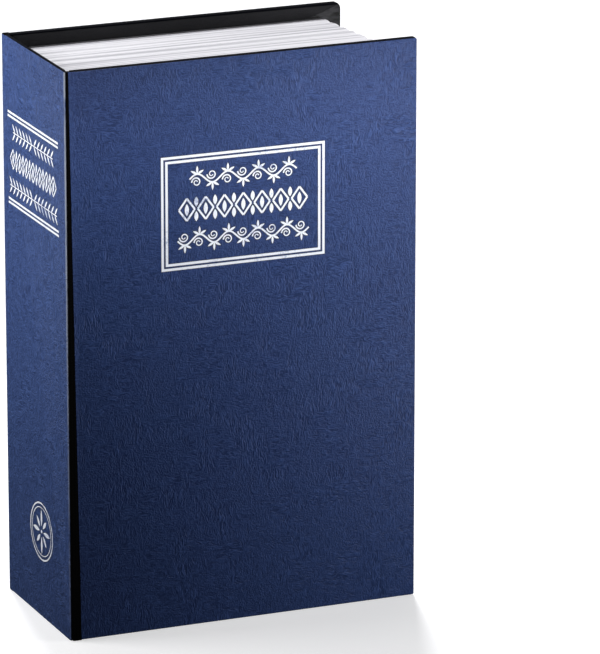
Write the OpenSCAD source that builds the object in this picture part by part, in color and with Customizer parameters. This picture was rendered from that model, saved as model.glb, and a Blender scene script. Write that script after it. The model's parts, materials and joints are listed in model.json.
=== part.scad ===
// Diversion book safe: a cased dictionary-style book that hides a steel box
// with a hinged lid and a three-wheel combination lock.
// The book stands on its tail edge. +Z is up, the front cover faces -Y and
// the spine is at -X. The origin is the middle of the footprint.

/* [Book] */
// Height of the covers
book_h = 180; // [176:1:240]
// Width from the spine to the fore-edge of the front cover
book_w = 115; // [114:1:150]
// Thickness over both covers
book_t = 55; // [54:1:70]
// Thickness of the grey board inside each cover
board_t = 2; // [1.8:0.1:2.2]
// How far the covers stand past the page block at head and tail
square = 4.5; // [4:0.5:6]
// How much shorter the back cover is at the fore-edge
back_short = 3; // [0:0.5:4]

/* [Box] */
// Steel sheet of the box and its lid
sheet = 1; // [0.8:0.1:1]
// Thickness of the moulded page block's walls at head and tail
page_wall = 6; // [5:0.5:8]
// How deep the lid lies below the box's flange
lid_drop = 3.4; // [3.2:0.1:3.6]
// Width of the raised strip of lid that carries the lock
lock_strip = 47; // [46:1:48]

/* [Lock] */
// Width of the lock's face plate
plate_w = 24; // [24:0.5:25]
// Height of the face plate
plate_h = 56; // [56:0.5:57]
// Distance between neighbouring number wheels
wheel_pitch = 6.75; // [6.75:0.05:6.9]
// Radius of a number wheel over its corners
wheel_r = 5.5; // [5.4:0.05:5.5]
// Radius of the turn knob
knob_r = 8.5; // [8:0.1:8.5]
// Length of the latch from the knob's axis to its tip
latch_l = 24.5; // [23.5:0.5:25]

/* [Hidden] */
$fn = 64;

// Small amount that cutting tools run past a face
eps = 0.5;

// Covers, counted from the outside: panel paper, wrap, board, wrap or lining
paper_t = 0.25;
skin_t = 0.25;
panel_margin = 0.4;
turn_in = 12;
corner_r = 1.5;
cover_t = board_t + 2 * skin_t + paper_t;
x_spine = -book_w / 2;
x_fore = book_w / 2;
y_front = -book_t / 2;
y_inside = y_front + cover_t;
joint_gap = 2.2;
x_joint = x_spine + joint_gap;
x_back_fore = x_fore - back_short;

// Cover hinge: a cloth joint that bends round one upright line near the arris
joint_r = 0.6;
joint_x = x_spine + joint_r + 0.05;
joint_y = y_front + joint_r + 0.05;

// Steel box
run_gap = 0.35;
y_flange = y_inside + run_gap;
y_box_back = -y_inside;
box_gap = 0.5;
flange_w = 2.5;
tray_x = [x_spine + 5.5, x_fore - 14];
tray_z = [square + page_wall + box_gap, book_h - square - page_wall - box_gap];
tray_in_x = [tray_x[0] + sheet, tray_x[1] - sheet];
tray_in_z = [tray_z[0] + sheet, tray_z[1] - sheet];
lid_gap = 0.4;
y_lid = y_flange + lid_drop;
y_lid_back = y_lid + sheet;
rim_depth = 2.4;
stop_gap = 0.3;
stop_w = 8;
stop_reach = 2.5;
stop_x = 20;
panel_sink = 2;
panel_slope = 5.4;
panel_edge = 10;
panel_hinge_edge = 6;

// Page block: the fore-edge leans in towards the shorter back cover
page_x_spine = x_spine + 3.2;
page_x_front = x_fore - square;
page_x_back = x_fore - square - 4.8;
page_corner = 3;
leaf_pitch = 5.4;
leaf_depth = 0.35;
leaf_half = 0.55;

// Lid hinge: knuckles on a wire pin
leaf_t = 0.8;
knuckle_r = 1.5;
pin_r = 0.8;
pin_fit = 0.05;
hinge_x = tray_in_x[0] + knuckle_r;
hinge_y = y_lid_back + leaf_t - knuckle_r;
knuckles = 9;
knuckle_gap = 0.3;
hinge_z = [tray_z[0] + 6, tray_z[1] - 6];
knuckle_l = (hinge_z[1] - hinge_z[0]) / knuckles;
lid_x = [hinge_x + knuckle_r + lid_gap, tray_in_x[1] - lid_gap];
lid_z = [tray_in_z[0] + lid_gap, tray_in_z[1] - lid_gap];
tray_leaf_w = 12;
lid_leaf_w = 5.5;

// Lock face plate and housing
lock_x = lid_x[1] - 25.6;
lock_z = book_h / 2;
plate_t = 2.4;
plate_corner = 1.2;
y_plate = y_lid - plate_t;
y_top = y_inside + 0.4;
body_half_w = 9.5;
body_z = [lock_z - 22.5, lock_z + 23.5];
body_wall = 1.5;
lid_cut_gap = 0.2;
wheel_y = y_top + wheel_r;
wheel_w = 5.1;
wheel_z = [for (i = [0:2]) lock_z + plate_h / 2 - 13.1 - i * wheel_pitch];
window_w = 10.3;
window_h = 5.3;
y_window = y_plate + 2;
partition_z = [lock_z - 6, lock_z - 3.2];
cavity_top = lock_z + 19.2;
y_body_back = wheel_y + wheel_r + 0.25;
back_t = 1.2;

// Wheels, code sleeves and axle
axle_r = 1.48;
axle_seat_r = 1.5;
sleeve_bore_r = 1.55;
sleeve_r = 3.15;
wheel_bore_r = 3.2;
finger_notch_r = 0.45;
gate_r = 3.7;
gate_t = 0.9;
gate_drop = 3.8;
gate_w = 1.2;
gate_depth = 0.8;
sleeve_top = 2.6;
gate_pocket_r = 4;

// Lock bar, with one tongue beside each code sleeve's gate disc
bar_x = [lock_x + 5.9, lock_x + 7.1];
bar_half_y = 0.75;
tongue_t = 0.7;
tongue_gap = 0.3;
bar_z = [lock_z - 18, lock_z + 15];
foot_h = 4;

// Knob, spindle and latch
knob_z = lock_z + plate_h / 2 - 43.9;
recess_r = knob_r + 0.3;
y_recess = y_plate + 1.8;
knob_gap = 0.3;
y_knob_back = y_recess - knob_gap;
dish_r = 6.2;
dish_depth = 1.4;
dish_shift = 1.2;
dish_ball_r = (dish_r * dish_r + dish_depth * dish_depth) / (2 * dish_depth);
peg_r = 2;
peg_l = 0.4;
spindle_r = 3;
spindle_bore_r = 3.06;
collar_r = 4.2;
collar_flat = 3.4;
chamber_y = [y_recess + 1.2, y_recess + 4.6];
knob_floor_t = 1;
y_floor_back = chamber_y[1] + knob_floor_t;
latch_t = 1.5;
latch_gap = 0.3;
latch_y = [y_floor_back + latch_gap, y_floor_back + latch_gap + latch_t];
latch_hub_r = 5.5;
latch_w = 9;
tail_w = 4.2;
tail_fit = 0.04;
latch_screw_r = 1.25;
latch_screw_l = 3.6;
latch_head_r = 3;
latch_head_t = 1.6;

// Strike on the fore-edge wall of the box
strike_t = 1.2;
strike_leg_t = 0.8;
strike_lip = 6;
strike_half_h = 8;
strike_y = [latch_y[0] - latch_gap - strike_t, latch_y[0] + 8];
rivet_r = 1.2;
rivet_head_r = 2.1;
rivet_head_t = 0.4;
rivet_y = strike_y[1] - 2.6;
rivet_step = 5;

// Screws
lock_screw_x = 9.6;
lock_screw_z = 26;
boss_r = 1.5;
boss_hole_r = 1.7;
lock_screw_r = 1;
lock_head_r = 2.4;
lock_head_t = 1.2;
cover_screw_r = 0.8;
cover_head_r = 1.6;
cover_head_t = 0.9;
cover_screw_l = 5;
cover_screws = [[-6.5, 21.4], [6.5, 21.4], [-6.5, -4.6]];

// Code change lever
lever_x = [lock_x - 7.8, lock_x - 6.2];
lever_tab_x = [lever_x[0] + 0.3, lever_x[1] - 0.3];
lever_z = [lock_z + 2, lock_z + 8];
lever_tab_z = [lock_z + 4, lock_z + 6];
lever_travel = 3;
lever_plate_t = 1.1;
lever_tab_out = 1.2;
lever_gap = 0.3;

// Detent spring: a strip on the housing wall with a finger for each wheel
spring_t = 0.3;
spring_x = [lock_x + body_half_w - body_wall - spring_t, lock_x + body_half_w - body_wall];
spring_y = [wheel_y + 1.45, wheel_y + 5.4];
finger_y = [wheel_y + 2.65, wheel_y + 2.95];
finger_tip = lock_x + 5.1;
finger_half_h = 1.5;

// ---- Shared shapes ----

// A box given by its limits along each axis
module block(x, y, z) {
  translate([x[0], y[0], z[0]]) cube([x[1] - x[0], y[1] - y[0], z[1] - z[0]]);
}

// A round bar along Y through (x, z)
module bar_y(x, z, y, r, sides = 64) {
  translate([x, y[0], z]) rotate([-90, 0, 0]) cylinder(r = r, h = y[1] - y[0], $fn = sides);
}

// A round bar along Z through (x, y)
module bar_z(x, y, z, r, sides = 64) {
  translate([x, y, z[0]]) cylinder(r = r, h = z[1] - z[0], $fn = sides);
}

// A flat outline in x and z, made into a plate between two y values
module plate_y(y) {
  translate([0, y[1], 0]) rotate([90, 0, 0]) linear_extrude(y[1] - y[0]) children();
}

// Outline of a cover: square at the joint, rounded at the fore-edge
module cover_outline(x, z, r) {
  translate([x[0], z[0]]) square([x[1] - x[0] - r, z[1] - z[0]]);
  translate([x[0], z[0] + r]) square([x[1] - x[0], z[1] - z[0] - 2 * r]);
  for (c = [z[0] + r, z[1] - r]) translate([x[1] - r, c]) circle(r);
}

// A rectangle round the origin with round corners
module round_rect(w, h, r) {
  square([w - 2 * r, h], center = true);
  square([w, h - 2 * r], center = true);
  for (i = [-1, 1], j = [-1, 1]) translate([i * (w / 2 - r), j * (h / 2 - r)]) circle(r);
}

// ---- Covers, drawn as the front cover; the back cover mirrors them ----

module board(x_end) {
  plate_y([y_front + paper_t + skin_t, y_inside - skin_t])
    cover_outline([x_joint + skin_t, x_end - skin_t], [skin_t, book_h - skin_t], corner_r - skin_t);
}

module lining(x_end, play = 0) {
  in = turn_in + play;
  plate_y([y_inside - skin_t - play, y_inside + play])
    translate([x_joint + in, in]) square([x_end - x_joint - 2 * in, book_h - 2 * in]);
}

module wrap(x_end) {
  difference() {
    plate_y([y_front + paper_t, y_inside]) cover_outline([x_joint, x_end], [0, book_h], corner_r);
    board(x_end);
    block(
      [x_joint + turn_in, x_end - turn_in],
      [y_inside - skin_t - eps, y_inside + eps],
      [turn_in, book_h - turn_in]
    );
  }
}

module panel_paper(x_end) {
  plate_y([y_front, y_front + paper_t])
    cover_outline(
      [x_joint + panel_margin, x_end - panel_margin],
      [panel_margin, book_h - panel_margin],
      corner_r - panel_margin
    );
}

module front_board() {
  color("#b3a994") board(x_fore);
}

module front_cover_wrap() {
  color("#1b1b1d") wrap(x_fore);
}

module front_panel_paper() {
  color("#2c3f7d") panel_paper(x_fore);
}

module front_lining() {
  color("#222224") lining(x_fore);
}

module back_board() {
  color("#b3a994") mirror([0, 1, 0]) board(x_back_fore);
}

module back_cover_wrap() {
  color("#1b1b1d") mirror([0, 1, 0]) wrap(x_back_fore);
}

module back_panel_paper() {
  color("#2c3f7d") mirror([0, 1, 0]) panel_paper(x_back_fore);
}

module back_lining() {
  color("#222224") mirror([0, 1, 0]) lining(x_back_fore);
}

// ---- Spine and joints ----

spine_y = [y_flange, -y_flange];

module spine_board() {
  color("#b3a994")
    block(
      [x_spine + paper_t + skin_t, x_spine + cover_t - skin_t],
      [spine_y[0] + skin_t, spine_y[1] - skin_t],
      [skin_t, book_h - skin_t]
    );
}

module spine_wrap() {
  color("#1b1b1d") difference() {
    block([x_spine + paper_t, x_spine + cover_t], spine_y, [0, book_h]);
    spine_board();
  }
}

module spine_panel_paper() {
  color("#2c3f7d")
    block([x_spine, x_spine + paper_t], spine_y, [panel_margin, book_h - panel_margin]);
}

module front_joint_cloth() {
  color("#161617") {
    bar_z(joint_x, joint_y, [0, book_h], joint_r);
    block([joint_x - joint_r, joint_x + 0.8 * joint_r], [joint_y + 0.7 * joint_r, spine_y[0]], [0, book_h]);
  }
}

module back_joint_cloth() {
  far = -y_front;
  color("#161617") {
    block([x_spine + joint_r, x_joint], [spine_y[1], far], [0, book_h]);
    block([x_spine, x_joint], [spine_y[1], far - joint_r], [0, book_h]);
    bar_z(x_spine + joint_r, far - joint_r, [0, book_h], joint_r);
  }
}

// ---- Page block ----

page_z = [square, book_h - square];
leaf_y = [for (y = [-y_inside - 3.6:-leaf_pitch:y_flange + 1.5]) y];

// x of the fore-edge at a depth y
function fore_x(y) =
  page_x_back + (page_x_front - page_x_back) * (-y_inside - y) / (-y_inside - y_flange);

// Outline of the block seen from above, with a shallow groove at each leaf line
module page_outline() {
  corner = [for (a = [90:-15:0]) [
    fore_x(-y_inside) - page_corner * (1 - cos(a)),
    -y_inside - page_corner * (1 - sin(a))
  ]];
  grooves = [for (y = leaf_y, s = [1, 0, -1])
    if (y + s * leaf_half < -y_inside - page_corner)
      [fore_x(y + s * leaf_half) - (s == 0 ? leaf_depth : 0), y + s * leaf_half]];
  polygon(concat(
    [[page_x_spine, y_flange], [page_x_spine, -y_inside]],
    corner,
    grooves,
    [[fore_x(y_flange), y_flange]]
  ));
}

// A groove across the head or the tail
module leaf_groove(y, z) {
  translate([page_x_spine - eps, y, z]) rotate([45, 0, 0])
    translate([0, -leaf_depth / 2, -leaf_depth / 2])
      cube([book_w, leaf_depth, leaf_depth]);
}

module page_block() {
  color("#f1eff2") difference() {
    translate([0, 0, page_z[0]]) linear_extrude(page_z[1] - page_z[0]) page_outline();
    block(
      [page_x_spine - eps, tray_x[1] + box_gap],
      [y_flange - eps, -y_inside + eps],
      [tray_z[0] - box_gap, tray_z[1] + box_gap]
    );
    block(
      [page_x_spine - eps, tray_x[1] + flange_w + 0.3],
      [y_flange - eps, y_flange + sheet],
      [tray_z[0] - flange_w - 0.3, tray_z[1] + flange_w + 0.3]
    );
    for (y = leaf_y, z = page_z) leaf_groove(y, z);
  }
}

// ---- Steel box ----

module box_tray() {
  flange_x = [page_x_spine, tray_x[1] + flange_w];
  stop_y = y_lid_back + rim_depth + stop_gap;
  color("#4a4d52") {
    difference() {
      union() {
        block(tray_x, [y_flange, y_box_back], tray_z);
        block(flange_x, [y_flange, y_flange + sheet], [tray_z[0] - flange_w, tray_z[1] + flange_w]);
      }
      block(tray_in_x, [y_flange - eps, y_box_back - sheet], tray_in_z);
      rivet_places() cylinder(r = rivet_r, h = 3 * eps + strike_leg_t + sheet);
    }
    // Tabs on both end walls that the shut lid rests on
    for (i = [-1, 1], z = [tray_in_z[0], tray_in_z[1] - stop_reach])
      translate([i * stop_x - stop_w / 2, stop_y, z]) cube([stop_w, sheet, stop_reach]);
  }
}

// A flat-bottomed hollow with sloped sides, sunk into the lid from the front
module sunk_panel(y) {
  x = [lid_x[0] + panel_hinge_edge, lid_x[1] - lock_strip];
  z = [lid_z[0] + panel_edge, lid_z[1] - panel_edge];
  d = panel_sink;
  s = panel_slope;
  intersection() {
    translate([0, 0, z[0]]) linear_extrude(z[1] - z[0])
      polygon([[x[0], y], [x[1], y], [x[1] - s, y + d], [x[0] + s, y + d]]);
    translate([x[0], 0, 0]) rotate([90, 0, 90]) linear_extrude(x[1] - x[0])
      polygon([[y, z[0]], [y, z[1]], [y + d, z[1] - s], [y + d, z[0] + s]]);
  }
}

module box_lid() {
  rim_y = [y_lid, y_lid_back + rim_depth];
  cut = body_half_w + lid_cut_gap;
  color("#4a4d52") difference() {
    union() {
      block(lid_x, [y_lid, y_lid_back], lid_z);
      sunk_panel(y_lid_back);
      block([lid_x[1] - sheet, lid_x[1]], rim_y, lid_z);
      block(lid_x, rim_y, [lid_z[0], lid_z[0] + sheet]);
      block(lid_x, rim_y, [lid_z[1] - sheet, lid_z[1]]);
    }
    translate([0, -sheet, 0]) sunk_panel(y_lid_back);
    block([lock_x - cut, lock_x + cut], [y_lid - eps, y_lid_back + eps],
      [body_z[0] - lid_cut_gap, body_z[1] + lid_cut_gap]);
    lock_screw_places() bar_y(0, 0, [y_lid - eps, y_lid_back + eps], boss_hole_r);
  }
}

// Runs its children at each of the four lock screws
module lock_screw_places() {
  for (i = [-1, 1], j = [-1, 1])
    translate([lock_x + i * lock_screw_x, 0, lock_z + j * lock_screw_z]) children();
}

// Every second knuckle of the hinge, starting at knuckle "first"
module knuckle_row(first) {
  for (k = [first:2:knuckles - 1]) {
    z0 = hinge_z[0] + k * knuckle_l + knuckle_gap / 2;
    z1 = hinge_z[0] + (k + 1) * knuckle_l - knuckle_gap / 2;
    translate([0, 0, z0]) linear_extrude(z1 - z0) children();
  }
}

module tray_hinge_leaf() {
  leaf_end = hinge_y + tray_leaf_w;
  color("#8d9094") difference() {
    union() {
      knuckle_row(0) {
        translate([hinge_x, hinge_y]) circle(knuckle_r);
        translate([hinge_x - knuckle_r, hinge_y]) square([leaf_t, knuckle_r + lid_gap]);
      }
      block([tray_in_x[0], tray_in_x[0] + leaf_t], [hinge_y + knuckle_r + lid_gap, leaf_end], hinge_z);
    }
    bar_z(hinge_x, hinge_y, [hinge_z[0] - eps, hinge_z[1] + eps], pin_r + pin_fit);
  }
}

module lid_hinge_leaf() {
  leaf_end = hinge_x + knuckle_r + lid_gap + lid_leaf_w;
  leaf_y0 = hinge_y + knuckle_r - leaf_t;
  color("#8d9094") difference() {
    union() {
      knuckle_row(1) {
        translate([hinge_x, hinge_y]) circle(knuckle_r);
        translate([hinge_x, leaf_y0]) square([knuckle_r + lid_gap, leaf_t]);
      }
      block([hinge_x + knuckle_r + lid_gap, leaf_end], [leaf_y0, leaf_y0 + leaf_t], hinge_z);
    }
    bar_z(hinge_x, hinge_y, [hinge_z[0] - eps, hinge_z[1] + eps], pin_r + pin_fit);
  }
}

module hinge_pin() {
  color("#b9bcc0") {
    bar_z(hinge_x, hinge_y, [hinge_z[0] - 0.6, hinge_z[1]], pin_r);
    bar_z(hinge_x, hinge_y, [hinge_z[0] - 1.2, hinge_z[0] - 0.2], pin_r + 0.5);
  }
}

module strike_plate() {
  z = [knob_z - strike_half_h, knob_z + strike_half_h];
  x_wall = tray_in_x[1];
  color("#9a9da1") difference() {
    union() {
      block([x_wall - strike_lip, x_wall], [strike_y[0], strike_y[0] + strike_t], z);
      block([x_wall - strike_leg_t, x_wall], strike_y, z);
    }
    rivet_places() cylinder(r = rivet_r, h = 3 * eps + strike_leg_t);
  }
}

// Runs its children along +X from just inside the strike's leg
module rivet_places() {
  for (i = [-1, 1])
    translate([tray_in_x[1] - strike_leg_t - 2 * eps, rivet_y, knob_z + i * rivet_step])
      rotate([0, 90, 0]) children();
}

module strike_rivets() {
  x_head = 2 * eps - rivet_head_t;
  color("#b9bcc0") rivet_places() {
    translate([0, 0, x_head]) cylinder(r = rivet_head_r, h = rivet_head_t);
    translate([0, 0, 2 * eps]) cylinder(r = rivet_r, h = strike_leg_t + sheet + rivet_head_t);
  }
}

// ---- Lock ----

module lock_housing() {
  body_x = [lock_x - body_half_w, lock_x + body_half_w];
  in_x = [body_x[0] + body_wall, body_x[1] - body_wall];
  color("#17181a") difference() {
    union() {
      translate([lock_x, 0, lock_z]) plate_y([y_plate, y_lid]) round_rect(plate_w, plate_h, plate_corner);
      block(body_x, [y_lid, chamber_y[1]], body_z);
      block(body_x, [y_lid, y_body_back], [partition_z[0], body_z[1]]);
      lock_screw_places() bar_y(0, 0, [y_lid, y_lid_back + 0.1], boss_r);
    }
    // Windows, each as wide as a few digits
    for (z = wheel_z)
      block([lock_x - window_w / 2, lock_x + window_w / 2], [y_plate - eps, y_window + eps],
        [z - window_h / 2, z + window_h / 2]);
    // Wheel cavity, with room for the gate discs between the windows
    block(in_x, [y_window, y_body_back + eps], [partition_z[1], cavity_top]);
    bar_z(lock_x, wheel_y, [partition_z[1], wheel_z[0] + window_h / 2], gate_pocket_r);
    // Seats for the axle's ends
    bar_z(lock_x, wheel_y, [partition_z[0] + 0.8, cavity_top + 2.2], axle_seat_r);
    // Knob recess, spindle bore and cam chamber
    bar_y(lock_x, knob_z, [y_plate - eps, y_recess], recess_r);
    bar_y(lock_x, knob_z, [y_recess - eps, chamber_y[0] + eps], spindle_bore_r);
    block(in_x, [chamber_y[0], chamber_y[1] + eps], [body_z[0] + body_wall, partition_z[0]]);
    // Passage for the lock bar
    block([bar_x[0] - 0.4, in_x[1]], [wheel_y - bar_half_y - 0.3, wheel_y + bar_half_y + 0.3],
      [partition_z[0] - eps, partition_z[1] + eps]);
    // Screw holes
    lock_screw_places() bar_y(0, 0, [y_plate + 0.6, y_lid_back + eps], lock_screw_r);
    cover_screw_places() bar_y(0, 0, [y_body_back - cover_screw_l, y_body_back + eps], cover_screw_r);
  }
}

// Runs its children at each screw of the lock's back cover
module cover_screw_places() {
  for (p = cover_screws) translate([lock_x + p[0], 0, lock_z + p[1]]) children();
}

module lock_back_cover() {
  body_x = [lock_x - body_half_w, lock_x + body_half_w];
  color("#202124") difference() {
    union() {
      block(body_x, [y_body_back, y_body_back + back_t], [partition_z[0], body_z[1]]);
      block(body_x, [chamber_y[1], y_floor_back], [body_z[0], partition_z[0]]);
      block(body_x, [chamber_y[1], y_body_back + back_t], [partition_z[0] - 1.2, partition_z[0]]);
    }
    bar_y(lock_x, knob_z, [chamber_y[1] - eps, y_floor_back + eps], spindle_bore_r);
    block([lever_tab_x[0] - 0.2, lever_tab_x[1] + 0.2], [y_body_back - eps, y_body_back + back_t + eps],
      [lever_tab_z[0] - lever_gap, lever_tab_z[1] + lever_travel + lever_gap]);
    cover_screw_places() bar_y(0, 0, [y_body_back - eps, y_body_back + back_t + eps], cover_screw_r);
  }
}

// A pan-head screw along -Y, its head behind the plane y = 0
module pan_screw(shank_r, shank_l, head_r, head_t) {
  difference() {
    union() {
      bar_y(0, 0, [-shank_l, 0], shank_r);
      bar_y(0, 0, [0, head_t], head_r);
    }
    for (a = [0, 90]) rotate([0, a, 0])
      block([-0.6 * head_r, 0.6 * head_r], [0.5 * head_t, head_t + eps], [-0.15 * head_r, 0.15 * head_r]);
  }
}

module back_cover_screws() {
  color("#b9bcc0") cover_screw_places() translate([0, y_body_back + back_t, 0])
    pan_screw(cover_screw_r, back_t + cover_screw_l - 0.5, cover_head_r, cover_head_t);
}

module lock_screws() {
  color("#b9bcc0") lock_screw_places() translate([0, y_lid_back + 0.1, 0])
    pan_screw(lock_screw_r, sheet + plate_t - 1, lock_head_r, lock_head_t);
}

module dial_axle() {
  color("#b9bcc0") bar_z(lock_x, wheel_y, [partition_z[0] + 0.9, cavity_top + 2.1], axle_r);
}

// A ten-sided number wheel with a finger notch at each corner
module number_wheel(i) {
  z = wheel_z[i];
  color("#c9c6bb") difference() {
    bar_z(lock_x, wheel_y, [z - wheel_w / 2, z + wheel_w / 2], wheel_r, 10);
    bar_z(lock_x, wheel_y, [z - wheel_w, z + wheel_w], wheel_bore_r);
    for (k = [0:9])
      translate([lock_x + wheel_r * cos(36 * k), wheel_y + wheel_r * sin(36 * k), z - wheel_w])
        cylinder(r = finger_notch_r, h = 2 * wheel_w, $fn = 24);
  }
}

// The sleeve inside a wheel, with the gated disc that the lock bar feels
module code_sleeve(i) {
  z = wheel_z[i];
  color("#b59a4e") difference() {
    union() {
      bar_z(lock_x, wheel_y, [z - gate_drop, z + sleeve_top], sleeve_r);
      bar_z(lock_x, wheel_y, [z - gate_drop, z - gate_drop + gate_t], gate_r);
    }
    bar_z(lock_x, wheel_y, [z - wheel_pitch, z + wheel_pitch], sleeve_bore_r);
    block([lock_x + gate_r - gate_depth, lock_x + gate_r + eps],
      [wheel_y - gate_w / 2, wheel_y + gate_w / 2], [z - gate_drop - eps, z - gate_drop + gate_t]);
  }
}

module number_wheel_1() { number_wheel(0); }
module number_wheel_2() { number_wheel(1); }
module number_wheel_3() { number_wheel(2); }
module code_sleeve_1() { code_sleeve(0); }
module code_sleeve_2() { code_sleeve(1); }
module code_sleeve_3() { code_sleeve(2); }

module detent_spring() {
  color("#c8a84a") {
    block(spring_x, spring_y, [wheel_z[2] - wheel_w / 2, wheel_z[0] + wheel_w / 2]);
    for (z = wheel_z)
      block([finger_tip, spring_x[1]], finger_y, [z - finger_half_h, z + finger_half_h]);
  }
}

module lock_bar() {
  y = [wheel_y - bar_half_y, wheel_y + bar_half_y];
  color("#a4a7ab") {
    block(bar_x, y, bar_z);
    for (z = wheel_z)
      block([lock_x + gate_r + tongue_gap, bar_x[1]], y,
        [z - gate_drop + (gate_t - tongue_t) / 2, z - gate_drop + (gate_t + tongue_t) / 2]);
    block([lock_x + collar_r + tongue_gap, bar_x[1]], y, [bar_z[0], bar_z[0] + foot_h]);
  }
}

module code_lever() {
  back = y_body_back - lever_gap;
  color("#a4a7ab") {
    block(lever_x, [back - lever_plate_t, back], lever_z);
    block(lever_tab_x, [back - lever_plate_t, y_body_back + back_t + lever_tab_out], lever_tab_z);
  }
}

// ---- Knob, spindle and latch: one turning group ----

module turn_knob() {
  color("#1d1e20") difference() {
    bar_y(lock_x, knob_z, [y_top, y_knob_back], knob_r);
    translate([lock_x - dish_shift, y_top + dish_depth - dish_ball_r, knob_z + dish_shift])
      sphere(r = dish_ball_r);
    bar_y(lock_x, knob_z, [y_knob_back - peg_l, y_knob_back + eps], peg_r);
  }
}

module knob_spindle() {
  color("#b9bcc0") difference() {
    union() {
      bar_y(lock_x, knob_z, [y_knob_back - peg_l, y_knob_back], peg_r);
      bar_y(lock_x, knob_z, [y_knob_back, latch_y[0]], spindle_r);
      intersection() {
        bar_y(lock_x, knob_z, [chamber_y[0] + lever_gap, chamber_y[1] - lever_gap], collar_r);
        block([lock_x - collar_r, lock_x + collar_r], [chamber_y[0], chamber_y[1]],
          [knob_z - collar_r, knob_z + collar_flat]);
      }
      block([lock_x - tail_w / 2, lock_x + tail_w / 2], latch_y, [knob_z - tail_w / 2, knob_z + tail_w / 2]);
    }
    bar_y(lock_x, knob_z, [latch_y[1] - latch_screw_l - 0.2, latch_y[1] + eps], latch_screw_r);
  }
}

module latch() {
  w = tail_w + 2 * tail_fit;
  color("#9a9da1") difference() {
    plate_y(latch_y) {
      translate([lock_x, knob_z]) circle(latch_hub_r);
      translate([lock_x - latch_w / 2, knob_z - latch_l + 1]) square([latch_w, latch_l - 1]);
      translate([lock_x - latch_w / 2 + 1, knob_z - latch_l]) square([latch_w - 2, latch_l]);
      for (i = [-1, 1])
        translate([lock_x + i * (latch_w / 2 - 1), knob_z - latch_l + 1]) circle(1);
    }
    translate([lock_x - w / 2, latch_y[0] - eps, knob_z - w / 2]) cube([w, latch_t + 2 * eps, w]);
  }
}

module latch_screw() {
  color("#b9bcc0") translate([lock_x, latch_y[1], knob_z])
    pan_screw(latch_screw_r, latch_screw_l, latch_head_r, latch_head_t);
}

front_board();
front_cover_wrap();
front_panel_paper();
front_lining();
back_board();
back_cover_wrap();
back_panel_paper();
back_lining();
spine_board();
spine_wrap();
spine_panel_paper();
front_joint_cloth();
back_joint_cloth();
page_block();
box_tray();
box_lid();
tray_hinge_leaf();
lid_hinge_leaf();
hinge_pin();
strike_plate();
strike_rivets();
lock_housing();
lock_back_cover();
back_cover_screws();
lock_screws();
dial_axle();
number_wheel_1();
number_wheel_2();
number_wheel_3();
code_sleeve_1();
code_sleeve_2();
code_sleeve_3();
detent_spring();
lock_bar();
code_lever();
turn_knob();
knob_spindle();
latch();
latch_screw();
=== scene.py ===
import json
import math
import random

import bmesh
import bpy
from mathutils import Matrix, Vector


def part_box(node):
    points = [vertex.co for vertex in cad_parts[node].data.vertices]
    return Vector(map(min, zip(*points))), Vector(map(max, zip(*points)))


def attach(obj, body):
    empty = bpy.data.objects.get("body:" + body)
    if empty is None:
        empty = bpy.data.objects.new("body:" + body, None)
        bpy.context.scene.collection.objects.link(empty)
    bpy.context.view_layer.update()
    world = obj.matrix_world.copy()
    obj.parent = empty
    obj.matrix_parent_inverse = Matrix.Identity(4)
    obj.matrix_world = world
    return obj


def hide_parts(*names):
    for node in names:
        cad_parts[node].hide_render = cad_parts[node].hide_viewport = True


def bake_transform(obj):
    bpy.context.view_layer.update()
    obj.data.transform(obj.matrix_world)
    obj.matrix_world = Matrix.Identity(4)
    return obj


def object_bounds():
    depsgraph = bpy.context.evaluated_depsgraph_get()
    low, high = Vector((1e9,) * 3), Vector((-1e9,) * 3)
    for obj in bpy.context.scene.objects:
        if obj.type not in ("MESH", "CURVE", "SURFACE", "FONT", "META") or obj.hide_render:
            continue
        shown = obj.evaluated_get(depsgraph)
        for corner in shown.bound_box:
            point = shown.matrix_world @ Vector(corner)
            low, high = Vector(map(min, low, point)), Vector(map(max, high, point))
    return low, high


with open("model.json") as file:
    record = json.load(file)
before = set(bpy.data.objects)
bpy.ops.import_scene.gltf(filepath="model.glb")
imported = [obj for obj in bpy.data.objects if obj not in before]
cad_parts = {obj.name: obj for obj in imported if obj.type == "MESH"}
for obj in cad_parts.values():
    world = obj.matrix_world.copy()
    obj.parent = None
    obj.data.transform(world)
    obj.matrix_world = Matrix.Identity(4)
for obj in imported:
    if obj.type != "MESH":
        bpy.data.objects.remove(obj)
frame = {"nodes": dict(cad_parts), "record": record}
cad_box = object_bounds()
bpy.ops.object.select_all(action="DESELECT")
mm = 0.001


# ---- Camera ----
# A long lens from the left and a little above, aimed just right of the book
# and just below its middle, so that the book stands at the left of the frame.
book_low, book_high = cad_box
book_middle = (book_low + book_high) / 2
azimuth = math.radians(-21.9)
elevation = math.radians(16.3)
camera_distance = 1.866
aim_right = 27.9 * mm
aim_down = 3.2 * mm

back = Vector((
    math.sin(azimuth) * math.cos(elevation),
    -math.cos(azimuth) * math.cos(elevation),
    math.sin(elevation),
))
across = Vector((math.cos(azimuth), math.sin(azimuth), 0))
upward = back.cross(across)
bpy.ops.object.camera_add(location=book_middle + back * camera_distance)
camera = bpy.context.object
camera.data.lens = 330.7
camera.data.clip_start = 0.05
camera.data.clip_end = 20
aim = book_middle + across * aim_right - upward * aim_down
camera.rotation_euler = (aim - camera.location).to_track_quat("-Z", "Y").to_euler()
bpy.context.scene.camera = camera
bpy.context.scene.view_settings.view_transform = "Standard"


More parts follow.
